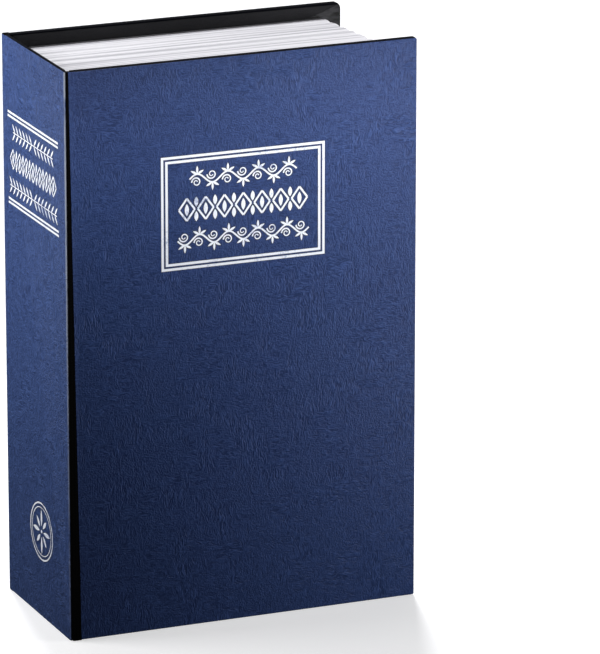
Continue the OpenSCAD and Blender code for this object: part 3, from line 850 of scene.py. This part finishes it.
def stamp(name, strokes, to_world, outward, body, finish, grow, lift):
    """Turns strokes into thin foil on a cover. grow widens each stroke and lift raises the foil."""
    curve = bpy.data.curves.new(name, "CURVE")
    curve.dimensions = "3D"
    curve.bevel_depth = 1
    curve.bevel_resolution = 1
    curve.use_fill_caps = True
    for stroke in strokes:
        line = curve.splines.new("POLY")
        line.points.add(len(stroke) - 1)
        for point, (u, v, half) in zip(line.points, stroke):
            point.co = (u, v, 0, 1)
            point.radius = max(half, 0.02 * mm) + grow
    made = bpy.data.objects.new(name, curve)
    bpy.context.collection.objects.link(made)
    select_only(made)
    bpy.ops.object.convert(target="MESH")
    for corner in made.data.vertices:
        depth = max(-1, min(1, corner.co.z / (0.3 * mm)))
        corner.co = to_world(corner.co.x, corner.co.y) + outward * depth * lift
    bpy.ops.object.mode_set(mode="EDIT")
    bpy.ops.mesh.select_all(action="SELECT")
    bpy.ops.mesh.remove_doubles(threshold=1e-7)
    bpy.ops.mesh.normals_make_consistent(inside=False)
    bpy.ops.object.mode_set(mode="OBJECT")
    smooth(made, 60)
    made.data.materials.append(finish)
    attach(made, body)
    return made


def rules(name, rectangles, to_world, outward, body, finish, grow, lift):
    """Flat frames, each (low u, low v, high u, high v, line width). A bar's width is None."""
    parts = []
    for low_u, low_v, high_u, high_v, width in rectangles:
        low_u, low_v, high_u, high_v = low_u - grow, low_v - grow, high_u + grow, high_v + grow
        bpy.ops.mesh.primitive_plane_add(size=1)
        part = bpy.context.object
        for corner in part.data.vertices:
            u = high_u if corner.co.x > 0 else low_u
            v = high_v if corner.co.y > 0 else low_v
            corner.co = (u, v, 0)
        bpy.ops.object.mode_set(mode="EDIT")
        bpy.ops.mesh.select_all(action="SELECT")
        if width:
            bpy.ops.mesh.inset(thickness=width + 2 * grow)
            bpy.ops.mesh.delete(type="FACE")
            bpy.ops.mesh.select_all(action="SELECT")
        bpy.ops.mesh.extrude_region_move(TRANSFORM_OT_translate={"value": (0, 0, lift)})
        face_outwards()
        bpy.ops.object.mode_set(mode="OBJECT")
        parts.append(part)
    made = join(parts, name)
    for corner in made.data.vertices:
        corner.co = to_world(corner.co.x, corner.co.y) + outward * (corner.co.z * 2 - lift)
    bpy.ops.object.mode_set(mode="EDIT")
    face_outwards()
    bpy.ops.object.mode_set(mode="OBJECT")
    made.data.materials.append(finish)
    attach(made, body)
    return made


# Front: the frame's outer edge is 53.8 mm by 35.8 mm, centred on the cover's width.
front_y = book_low.y
frame_low_z = 114.7 * mm
frame_high_z = 150.5 * mm
frame_half = 26.9 * mm
frame_middle_z = (frame_low_z + frame_high_z) / 2
front_rectangles = [
    (-frame_half + k * rule_pitch, frame_low_z + k * rule_pitch,
     frame_half - k * rule_pitch, frame_high_z - k * rule_pitch, rule_w)
    for k in (0, 1)
]
short_row = 17.6 * mm
long_row = 21.6 * mm
vine_size = 7.4 * mm
chain_size = 7.6 * mm
front_strokes = (
    vine_row(short_row, frame_middle_z + 10.2 * mm, vine_size, 7, 1)
    + lozenge_row(long_row, frame_middle_z + 0.8 * mm, chain_size, 7)
    + vine_row(long_row, frame_middle_z - 8.8 * mm, vine_size, 9, -1)
)


def on_front(u, v):
    return Vector((u, front_y, v))


# Spine: two double rules 28 mm apart, the rows between them, and a small
# rosette near the tail.
spine_x = book_low.x - paper_t
rule_half = 21.9 * mm
spine_shift = 1.0 * mm
thin_rule_half = 0.35 * mm
spine_rectangles = [
    (-rule_half, z * mm - thin_rule_half, rule_half, z * mm + thin_rule_half, None)
    for z in (156.5, 155.2, 128.9, 127.6)
]
laurel_size = 6 * mm
spine_strokes = (
    laurel_row(17.5 * mm, 150.6 * mm, laurel_size, 6)
    + lozenge_row(20.5 * mm, 142.0 * mm, 6.8 * mm, 7)
    + laurel_row(20.5 * mm, 133.4 * mm, laurel_size, 7)
)
rosette_z = 28 * mm
rosette_u = 3.5 * mm
eye_r = 1.8 * mm
petal_w = 1.6 * mm
for k in range(8):
    angle = math.radians(45 * k)
    reach = 5.6 * mm if k % 2 == 0 else 4.2 * mm
    petal = leaf(eye_r * math.cos(angle), eye_r * math.sin(angle), angle, reach, petal_w)
    spine_strokes.append([(rosette_u + u, rosette_z + v, w) for u, v, w in petal])
for radius, half in ((9.6 * mm, 0.34 * mm), (8.2 * mm, 0.24 * mm)):
    ring = [math.radians(6 * k) for k in range(61)]
    spine_strokes.append([
        (rosette_u + radius * math.cos(a), rosette_z + 0.95 * radius * math.sin(a), half) for a in ring
    ])
spine_strokes.append(dot(rosette_u, rosette_z, petal_w))


def on_spine(u, v):
    return Vector((spine_x, spine_shift - u, v))


# First a wider, lower copy of each stroke in dark blue, painted shade round the foil; then the foil.
for prefix, finish, grow, lift in (
    ("pressed", die_shade_paper, die_shade_margin, die_shade_lift), ("foil", silver_pigment_foil, 0, foil_lift),
):
    pressing = (finish, grow, lift)
    front = (on_front, Vector((0, -1, 0)), "front_cover", *pressing)
    spine = (on_spine, Vector((-1, 0, 0)), "root", *pressing)
    rules(f"front_{prefix}_frame", front_rectangles, *front)
    stamp(f"front_{prefix}_flowers", front_strokes, *front)
    rules(f"spine_{prefix}_rules", spine_rectangles, *spine)
    stamp(f"spine_{prefix}_flowers", spine_strokes, *spine)


# ---- Page block ----
# One white polystyrene moulding in the shape of a trimmed book block. Its
# head, tail and fore-edge are moulded as gathered leaves: nine soft
# bundles with shallow valleys between them. The steel box fills its middle.
page_low, page_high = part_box("page_block")
tray_low, tray_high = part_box("box_tray")
bundles = 9
rows_per_bundle = 12
rows = bundles * rows_per_bundle
valley = 0.45 * mm
fore_lean = 4.8 * mm
fore_valley = 0.4
page_round = 0.6 * mm
spine_gap = 0.1 * mm
flange_w = 2.5 * mm
tray_wall_x = tray_high.x - flange_w
pocket_gap = 0.4 * mm
flange_t = 1 * mm
rebate_gap = 0.3 * mm

bpy.ops.mesh.primitive_grid_add(x_subdivisions=1, y_subdivisions=rows, size=1)
pages = bpy.context.object
pages.name = "page_leaves"
chance = random.Random(4)
nudges = [chance.uniform(-0.05, 0.05) * mm for _ in range(rows + 1)]
bundle_sizes = [chance.uniform(0.7, 1.3) for _ in range(bundles)]
bundle_edges = [sum(bundle_sizes[:k]) / sum(bundle_sizes) for k in range(bundles + 1)]
bpy.ops.object.mode_set(mode="EDIT")
shape = bmesh.from_edit_mesh(pages.data)
for corner in shape.verts:
    corner.co.x = page_high.x if corner.co.x > 0 else spine_low.x + spine_t + spine_gap
    row = round((corner.co.y + 0.5) * rows)
    k, part = divmod(row, rows_per_bundle)
    start = bundle_edges[k]
    stop = bundle_edges[min(k + 1, bundles)]
    share = start + (stop - start) * part / rows_per_bundle
    corner.co.y = page_low.y + (page_high.y - page_low.y) * share
    corner.co.z = page_low.z
bmesh.update_edit_mesh(pages.data)
bpy.ops.mesh.select_all(action="SELECT")
bpy.ops.mesh.extrude_region_move(TRANSFORM_OT_translate={"value": (0, 0, page_high.z - page_low.z)})
face_outwards()
shape = bmesh.from_edit_mesh(pages.data)


def sunk(y):
    """How deep the leaves' edges lie under the trim at a depth y in the block."""
    share = (y - page_low.y) / (page_high.y - page_low.y)
    k = max(i for i in range(bundles) if bundle_edges[i] <= share + 1e-6)
    part = (share - bundle_edges[k]) / (bundle_edges[k + 1] - bundle_edges[k])
    row = min(rows, k * rows_per_bundle + round(part * rows_per_bundle))
    swell = max(0, math.sin(math.pi * min(part, 1))) ** 0.55
    pressed = min(y - page_low.y, page_high.y - y) < 1.2 * mm
    return nudges[row] if pressed else valley * (1 - swell) + nudges[row]


for corner in shape.verts:
    drop = sunk(corner.co.y)
    back_share = (corner.co.y - page_low.y) / (page_high.y - page_low.y)
    if corner.co.x > 0:
        corner.co.x = page_high.x - fore_lean * back_share - fore_valley * max(drop, 0)
        corner_run = page_high.y - corner.co.y
        if corner_run < page_round:
            rest = page_round - corner_run
            corner.co.x -= page_round - math.sqrt(max(0, page_round ** 2 - rest ** 2))
    if corner.co.z > book_middle.z:
        corner.co.z -= max(drop, 0)
    else:
        corner.co.z += max(drop, 0)
bmesh.update_edit_mesh(pages.data)
bpy.ops.object.mode_set(mode="OBJECT")
pocket = block(
    "pocket",
    (page_low.x - 5 * mm, page_low.y - mm, tray_low.z + flange_w - pocket_gap),
    (tray_wall_x + pocket_gap, page_high.y + mm, tray_high.z - flange_w + pocket_gap),
)
rebate = block(
    "rebate",
    (page_low.x - 5 * mm, page_low.y - mm, tray_low.z - rebate_gap),
    (tray_high.x + rebate_gap, page_low.y + flange_t, tray_high.z + rebate_gap),
)
for cutter in (pocket, rebate):
    select_only(pages)
    cut = pages.modifiers.new("cut", "BOOLEAN")
    cut.operation = "DIFFERENCE"
    cut.solver = "EXACT"
    cut.object = cutter
    bpy.ops.object.modifier_apply(modifier="cut")
    bpy.data.objects.remove(cutter)
smooth(pages, 40)

# Polystyrene, moulded against a fine-lined tool: white, faintly cool, with
# leaf lines drawn at 0.35 mm, and soft grey lines as painted shade for the grooves.
page_plastic, shader = material(
    "white_polystyrene", Roughness=0.5, Subsurface_Weight=0.15, Subsurface_Radius=(mm, mm, mm),
)
tree = page_plastic.node_tree
leaves = node(tree, "TexNoise", {
    "Vector": object_space(tree, per_mm(83.33, 0.3571, 83.33)), "Scale": 1.0, "Detail": 2.0,
})
groups = node(tree, "TexNoise", {
    "Vector": object_space(tree, per_mm(200, 1.613, 200)), "Scale": 1.0, "Detail": 2.0,
})
# Painted shade: soft grey lines stand in for the shadow in the grooves between leaves.
groove_shade_lines = node(tree, "MapRange", {"Value": groups.outputs[0], "From Min": 0.4, "From Max": 0.54})
tone = node(tree, "Mix", {
    0: groove_shade_lines.outputs[0], 6: srgb("#a8a7af"), 7: srgb("#dbdae0"),
}, data_type="RGBA")
bump = node(tree, "Bump", {"Height": leaves.outputs[0], "Distance": 0.08 * mm, "Strength": 0.5})
feed(shader, Base_Color=tone.outputs[2], Normal=bump.outputs[0])
pages.data.materials.append(page_plastic)
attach(pages, "root")
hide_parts("page_block")


# ---- Steel box ----
# Folded and spot-welded steel sheet: a tray with a flange all round, and a
# pan lid with a sunk panel. Both are sprayed slate grey hammertone.
def eased(name, node_name, finish, width, segments=2, angle=40):
    """A copy of a CAD node with its arrises rounded over, as a folded or moulded part has them."""
    source = frame["nodes"][node_name]
    made = bpy.data.objects.new(name, source.data.copy())
    bpy.context.collection.objects.link(made)
    select_only(made)
    bpy.ops.object.mode_set(mode="EDIT")
    bpy.ops.mesh.select_all(action="SELECT")
    bpy.ops.mesh.remove_doubles(threshold=0.002 * mm)
    bpy.ops.mesh.dissolve_limited(angle_limit=math.radians(2))
    bpy.ops.object.mode_set(mode="OBJECT")
    ease = made.modifiers.new("ease", "BEVEL")
    ease.width = width
    ease.segments = segments
    ease.limit_method = "ANGLE"
    ease.angle_limit = math.radians(angle)
    bpy.ops.object.modifier_apply(modifier="ease")
    bpy.ops.object.mode_set(mode="EDIT")
    bpy.ops.mesh.select_all(action="SELECT")
    bpy.ops.mesh.quads_convert_to_tris()
    bpy.ops.object.mode_set(mode="OBJECT")
    smooth(made, 32)
    made.modifiers.new("flats", "WEIGHTED_NORMAL").keep_sharp = True
    select_only(made)
    bpy.ops.object.modifier_apply(modifier="flats")
    made.data.materials.clear()
    made.data.materials.append(finish)
    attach(made, body_of[node_name])
    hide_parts(node_name)
    return made


body_of = {n: b for b, names in frame["record"]["behaviour"]["bodies"].items() for n in names}

# Hammertone: a stove enamel with aluminium flake that draws into shallow
# dimples about 1 mm across as it dries, with a few deeper dark pits.
hammertone, shader = material(
    "grey_hammertone_enamel", Metallic=0.3, Roughness=0.4, Coat_Weight=0.2, Coat_Roughness=0.25,
)
tree = hammertone.node_tree
space = object_space(tree)
wander = node(tree, "TexNoise", {"Vector": space, "Scale": 1 / (1.4 * mm), "Detail": 2.0})
shifted = node(tree, "Mix", {0: 1.2 * mm, 4: space, 5: wander.outputs["Color"]}, data_type="VECTOR")
cells = node(tree, "TexVoronoi", {
    "Vector": shifted.outputs[1], "Scale": 1 / (1.1 * mm), "Smoothness": 0.9,
}, feature="SMOOTH_F1")
mottle = node(tree, "TexNoise", {
    "Vector": space, "Scale": 1 / (1.9 * mm), "Detail": 5.0, "Roughness": 0.62,
})
cloud = node(tree, "MapRange", {"Value": mottle.outputs[0], "From Min": 0.3, "From Max": 0.7})
tone = node(tree, "Mix", {
    0: cloud.outputs[0], 6: srgb("#3c4147"), 7: srgb("#565b62"),
}, data_type="RGBA")
speck = node(tree, "TexNoise", {
    "Vector": object_space(tree, (1, 1, 0.6)), "Scale": 1 / (1.6 * mm), "Detail": 3.0,
})
pits = node(tree, "MapRange", {"Value": speck.outputs[0], "From Min": 0.64, "From Max": 0.7})
pitted = node(tree, "Mix", {
    0: pits.outputs[0], 6: tone.outputs[2], 7: srgb("#16181b"),
}, data_type="RGBA")
depth = node(tree, "Math", {0: cells.outputs[0], 1: pits.outputs[0]}, operation="ADD")
bump = node(tree, "Bump", {
    "Height": depth.outputs[0], "Distance": 0.16 * mm, "Strength": 0.5,
}, invert=True)
feed(shader, Base_Color=pitted.outputs[2], Normal=bump.outputs[0])

eased("steel_tray", "box_tray", hammertone, 0.3 * mm)
eased("steel_lid", "box_lid", hammertone, 0.35 * mm)


# ---- Hinge, strike, screws and the lock's steel parts ----
# Stamped and turned mild steel, barrel-plated with zinc. The hinge is a
# strip of rolled knuckles on a wire pin, the strike a folded bracket.
zinc_plate, shader = material("zinc_plated_steel", Metallic=1.0, Roughness=0.33)
tree = zinc_plate.node_tree
space = object_space(tree)
rolled = node(tree, "TexNoise", {
    "Vector": object_space(tree, per_mm(6.667, 6.667, 0.5556)), "Scale": 1.0, "Detail": 3.0,
})
spangle = node(tree, "TexVoronoi", {"Vector": space, "Scale": 1 / (2.4 * mm)})
tone = node(tree, "Mix", {
    0: spangle.outputs[0], 6: srgb("#c6cacd"), 7: srgb("#a4a8ac"),
}, data_type="RGBA")
haze = node(tree, "MapRange", {"Value": rolled.outputs[0], "To Min": 0.24, "To Max": 0.44})
bump = node(tree, "Bump", {"Height": rolled.outputs[0], "Distance": 0.03 * mm, "Strength": 0.4})
feed(shader, Base_Color=tone.outputs[2], Roughness=haze.outputs[0], Normal=bump.outputs[0])

for node_name in ("tray_hinge_leaf", "lid_hinge_leaf", "strike_plate", "latch"):
    eased(f"plated_{node_name}", node_name, zinc_plate, 0.12 * mm)
for node_name in (
    "hinge_pin", "strike_rivets", "back_cover_screws", "lock_screws", "dial_axle", "lock_bar",
    "code_lever", "knob_spindle", "latch_screw",
):
    wear(node_name, zinc_plate)


# ---- Lock case and knob ----
# Two mouldings of glass-filled nylon, black, spark-eroded to a fine matt:
# the front with its windows and knob recess, and a stepped back cover.
black_nylon, shader = material("black_nylon", Roughness=0.42)
tree = black_nylon.node_tree
space = object_space(tree)
eroded = node(tree, "TexNoise", {"Vector": space, "Scale": 1 / (0.33 * mm), "Detail": 3.0})
bump = node(tree, "Bump", {"Height": eroded.outputs[0], "Distance": 0.04 * mm, "Strength": 0.5})
grease = node(tree, "TexNoise", {"Vector": space, "Scale": 1 / (6 * mm), "Detail": 3.0})
tone = node(tree, "Mix", {
    0: grease.outputs[0], 6: srgb("#0c0c0d"), 7: srgb("#161618"),
}, data_type="RGBA")
haze = node(tree, "MapRange", {"Value": grease.outputs[0], "To Min": 0.34, "To Max": 0.5})
feed(shader, Base_Color=tone.outputs[2], Roughness=haze.outputs[0], Normal=bump.outputs[0])

eased("lock_case_front", "lock_housing", black_nylon, 0.3 * mm)
eased("lock_case_back", "lock_back_cover", black_nylon, 0.2 * mm)

# Painted shade: a thin matt black ring round the front plate stands in for the shadow in the gap round
# it.
shadow_ring_black = grained(
    "shadow_ring_black", 1.1, "#040404", "#0c0c0d", 3.0, Roughness=0.8, Specular_IOR_Level=0.15,
)

plate_low, plate_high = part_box("lock_housing")
lid_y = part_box("box_lid")[0].y
shadow_ring_w = 1.1 * mm
shadow_ring_t = 0.5 * mm
shadow_ring_corner = 2 * mm
shadow_ring_band = 2.6 * mm
shadow_ring_ease = 0.12 * mm
# The black ring: painted shade round the plate.
shadow_ring = block(
    "lock_shadow_ring",
    (plate_low.x - shadow_ring_w, lid_y - shadow_ring_t, plate_low.z - shadow_ring_w),
    (plate_high.x + shadow_ring_w, lid_y + 0.05 * mm, plate_high.z + shadow_ring_w),
)
bpy.ops.object.mode_set(mode="EDIT")
round_edges(shadow_ring_corner, 6, lambda m, d, e: abs(d.y) > 0.9)
choose("faces", lambda m, d, f: abs(d.y) > 0.9)
bpy.ops.mesh.inset(thickness=shadow_ring_band)
bpy.ops.mesh.delete(type="FACE")
choose("edges", lambda m, d, e: len(e.link_faces) == 1)
bpy.ops.mesh.bridge_edge_loops()
round_edges(shadow_ring_ease, 2, lambda m, d, e: abs(d.y) < 0.5 and is_arris(e))
face_outwards()
bpy.ops.object.mode_set(mode="OBJECT")
smooth(shadow_ring)
shadow_ring.data.materials.append(shadow_ring_black)
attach(shadow_ring, "lid")

# The knob is a low drum with a dish for the thumb, off its centre.
knob_low, knob_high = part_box("turn_knob")
knob_middle = (knob_low + knob_high) / 2
knob_r = (knob_high.x - knob_low.x) / 2
dish_r = 6.4 * mm
dish_depth = 1.4 * mm
dish_off = 1.1 * mm
dish_rings = 9
dish_bowl = 2.2
rim_round = 0.5 * mm

bpy.ops.mesh.primitive_cylinder_add(vertices=96, radius=knob_r, depth=knob_high.y - knob_low.y)
knob = bpy.context.object
knob.name = "finger_knob"
for corner in knob.data.vertices:
    corner.co = (knob_middle.x + corner.co.x, knob_middle.y - corner.co.z, knob_middle.z + corner.co.y)
bpy.ops.object.mode_set(mode="EDIT")
round_edges(rim_round, 4, lambda m, d, e: is_arris(e) and m.y < knob_middle.y)
choose("faces", lambda m, d, f: abs(d.y) > 0.99 and m.y < knob_middle.y and len(f.verts) > 20)
bpy.ops.mesh.inset(thickness=knob_r - rim_round - dish_r)
bpy.ops.transform.translate(value=(-dish_off, 0, dish_off))
for k in range(1, dish_rings + 1):
    bpy.ops.mesh.inset(thickness=dish_r / (dish_rings + 0.6))
    drop = dish_depth * ((1 - (k - 1) / dish_rings) ** dish_bowl - (1 - k / dish_rings) ** dish_bowl)
    bpy.ops.transform.translate(value=(0, drop, 0))
face_outwards()
bpy.ops.object.mode_set(mode="OBJECT")
smooth(knob, 24)
knob.data.materials.append(black_nylon)
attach(knob, "knob")
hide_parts("turn_knob")


# ---- Number wheels ----
# Ten-sided wheels moulded in ivory acetal, with a finger notch at each
# corner and the digits 0 to 9 printed in black on the flats.
acetal = grained(
    "ivory_acetal", 1.4, "#d6d2c4", "#aaa597", 4.0, relief=(0.05 * mm, 0.3),
    Roughness=0.36, Subsurface_Weight=0.1, Subsurface_Radius=(0.8 * mm, 0.7 * mm, 0.5 * mm),
)

# Pad-printed ink: matt black, a little thin where the pad lifted.
print_ink = grained("black_print_ink", 0.56, "#0b0b0c", "#232325", 2.0, Roughness=0.6)

digit_size = 4.3 * mm
digit_lift = 0.02 * mm
for number in (1, 2, 3):
    wheel_node = f"number_wheel_{number}"
    eased(f"dial_wheel_{number}", wheel_node, acetal, 0.15 * mm)
    low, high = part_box(wheel_node)
    hub = (low + high) / 2
    flat_radius = (high.y - low.y) / 2
    digits = []
    for digit in range(10):
        bpy.ops.object.text_add()
        glyph = bpy.context.object
        glyph.data.body = str(digit)
        glyph.data.size = digit_size
        glyph.data.align_x = "CENTER"
        glyph.data.align_y = "CENTER"
        glyph.data.extrude = digit_lift
        bpy.ops.object.convert(target="MESH")
        turn = math.radians(36 * digit - 90)
        outward = Vector((math.cos(turn), math.sin(turn), 0))
        sideways = Vector((-math.sin(turn), math.cos(turn), 0))
        wide = [v.co.x for v in glyph.data.vertices]
        tall = [v.co.y for v in glyph.data.vertices]
        mid_u, mid_v = (min(wide) + max(wide)) / 2, (min(tall) + max(tall)) / 2
        for corner in glyph.data.vertices:
            u, v, lift = corner.co.x - mid_u, corner.co.y - mid_v, corner.co.z
            corner.co = hub + sideways * u + Vector((0, 0, v)) + outward * (flat_radius + lift)
        digits.append(glyph)
    printed = join(digits, f"wheel_digits_{number}")
    printed.data.materials.clear()
    printed.data.materials.append(print_ink)
    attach(printed, f"wheel_{number}")


# ---- Brass parts ----
# Code sleeves turned from brass bar, and a detent spring blanked from
# hard-rolled brass strip.
turned_brass = grained(
    "turned_brass", 3.333, "#c9a24f", "#a98238", 2.0, stretch=(1, 1, 20),
    relief=(0.03 * mm, 0.4), Metallic=1.0, Roughness=0.3,
)
for node_name in ("code_sleeve_1", "code_sleeve_2", "code_sleeve_3", "detent_spring"):
    wear(node_name, turned_brass)
